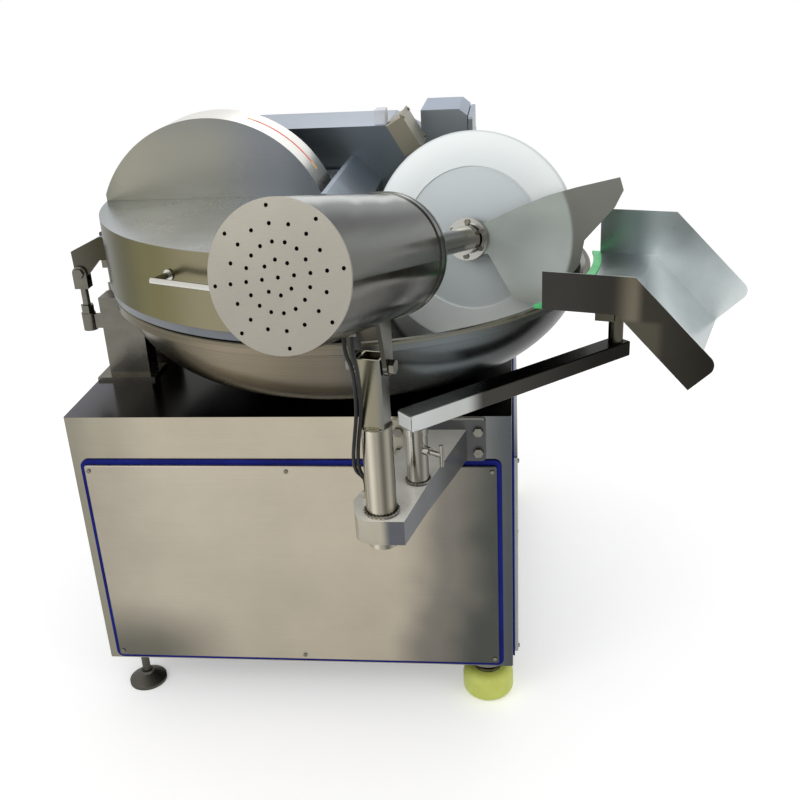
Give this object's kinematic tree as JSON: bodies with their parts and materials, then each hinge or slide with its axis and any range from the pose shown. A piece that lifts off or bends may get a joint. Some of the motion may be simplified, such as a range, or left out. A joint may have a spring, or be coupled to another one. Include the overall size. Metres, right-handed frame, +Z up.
{
  "type": "bowl cutter",
  "caption": "Stainless meat bowl cutter with a turning bowl, knife head under a hinged lid, tilting disc unloader on a post, swinging discharge chute and panelled cabinet",
  "frame": {"origin": "bottom centre of the whole machine's box, on the floor", "axes": "+X to the right seen from the operator's side, +Y towards the rear, +Z up"},
  "size_m": [1.5617, 1.9236, 1.4187],
  "materials": {
    "cabinet_steel": "brushed",
    "cover_steel": "brushed",
    "lid_steel": "brushed",
    "bowl_steel": "turned",
    "polished_steel": "polished",
    "disc_steel": "satin",
    "knife_steel": "ground",
    "fastener_steel": "satin",
    "cast_iron_grey": "cast",
    "motor_paint": "satin",
    "seal_blue": "matte",
    "seal_black": "matte",
    "belt_rubber": "matte",
    "buffer_polyurethane": "matte",
    "strip_green": "matte",
    "connector_white": "gloss",
    "cable_black": "matte"
  },
  "bodies": {
    "frame": {"cabinet_shell": "cabinet_steel", "front_panel": "cabinet_steel", "rear_panel": "cabinet_steel", "left_panel": "cabinet_steel", "right_panel": "cabinet_steel", "base_frame": "cabinet_steel", "panel_seals": "seal_blue", "panel_screws": "fastener_steel", "levelling_feet": "fastener_steel", "buffer_feet": "buffer_polyurethane", "buffer_hubs": "fastener_steel", "bowl_bearing_housing": "polished_steel", "bowl_gearbox": "cast_iron_grey", "bowl_motor": "motor_paint", "shaft_bearings": "polished_steel", "knife_bearing_arm": "cast_iron_grey", "drive_belt": "belt_rubber", "main_motor": "motor_paint", "spindle_hood": "cover_steel", "fixed_cover": "cover_steel", "hinge_pins": "fastener_steel", "hinge_forks": "polished_steel", "hinge_lock_nuts": "fastener_steel", "lid_posts": "polished_steel", "switch_box": "cover_steel", "connector_block": "connector_white", "electrical_cabinet": "cover_steel", "unloader_post": "polished_steel", "unloader_mast": "polished_steel", "pivot_bolt": "fastener_steel", "wall_bracket": "polished_steel", "bracket_bolts": "fastener_steel", "chute_column": "polished_steel", "right_cable": "cable_black", "left_cable": "cable_black"},
    "bowl": {"bowl": "bowl_steel", "bowl_spindle": "polished_steel"},
    "knife_rotor": {"knife_shaft": "polished_steel", "knives": "knife_steel", "knife_clamp_set": "knife_steel", "knife_pulley": "cast_iron_grey"},
    "motor_rotor": {"motor_shaft": "polished_steel", "motor_pulley": "cast_iron_grey"},
    "lid": {"lid_shell": "lid_steel", "lid_handle": "polished_steel"},
    "door": {"electrical_door": "cover_steel"},
    "unloader": {"motor_housing": "polished_steel", "housing_end_plate": "polished_steel", "housing_seal": "seal_black", "vented_end_cover": "polished_steel", "disc_gearmotor": "motor_paint", "arm_tube": "polished_steel", "flange_screws": "fastener_steel", "scraper": "polished_steel"},
    "disc": {"unloading_disc": "disc_steel", "disc_shaft": "polished_steel"},
    "chute_arm": {"chute_arm": "polished_steel"},
    "chute": {"chute": "polished_steel", "mouth_strip": "strip_green"},
    "clamp": {"clamp_screw": "polished_steel"}
  },
  "joints": [
    {"name": "bowl_spin", "type": "hinge", "parent": "frame", "child": "bowl", "pos_m": [-0.10887, 0.10033, 0.779], "axis": [0, 0, 1], "continuous": true},
    {"name": "knife_spin", "type": "hinge", "parent": "frame", "child": "knife_rotor", "pos_m": [-0.41387, 0.50033, 1.083], "axis": [0, 1, 0], "continuous": true},
    {"name": "motor_spin", "type": "hinge", "parent": "frame", "child": "motor_rotor", "pos_m": [-0.41387, 0.88033, 0.33], "axis": [0, 1, 0], "continuous": true},
    {"name": "lid_hinge", "type": "hinge", "parent": "frame", "child": "lid", "pos_m": [-0.76387, 0.15033, 1.041], "axis": [0, -1, 0], "range_deg": [0, 78]},
    {"name": "door_hinge", "type": "hinge", "parent": "frame", "child": "door", "pos_m": [0.15113, 0.90833, 1.05], "axis": [0, 0, 1], "range_deg": [0, 110]},
    {"name": "unloader_tilt", "type": "hinge", "parent": "frame", "child": "unloader", "pos_m": [0.02013, -0.56667, 1.045], "axis": [0.9736, -0.2284, 0], "range_deg": [0, 35], "deforming": ["right_cable", "left_cable"]},
    {"name": "disc_spin", "type": "hinge", "parent": "unloader", "child": "disc", "pos_m": [0.17513, 0.00033, 1.118], "axis": [-0.2236, -0.9534, 0.2028], "continuous": true},
    {"name": "chute_arm_swing", "type": "hinge", "parent": "frame", "child": "chute_arm", "pos_m": [0.07813, -0.44667, 0.871], "axis": [0, 0, 1], "range_deg": [-90, 0]},
    {"name": "chute_turn", "type": "hinge", "parent": "chute_arm", "child": "chute", "pos_m": [0.48605, -0.08601, 0.905], "axis": [0, 0, 1], "range_deg": [-20, 20]},
    {"name": "clamp_turn", "type": "hinge", "parent": "frame", "child": "clamp", "pos_m": [0.07813, -0.44667, 0.8247], "axis": [0.8192, -0.5736, 0], "range_deg": [0, 360]}
  ],
  "couplings": [
    {"joint": "motor_spin", "follows": "knife_spin", "ratio": 0.66667}
  ]
}
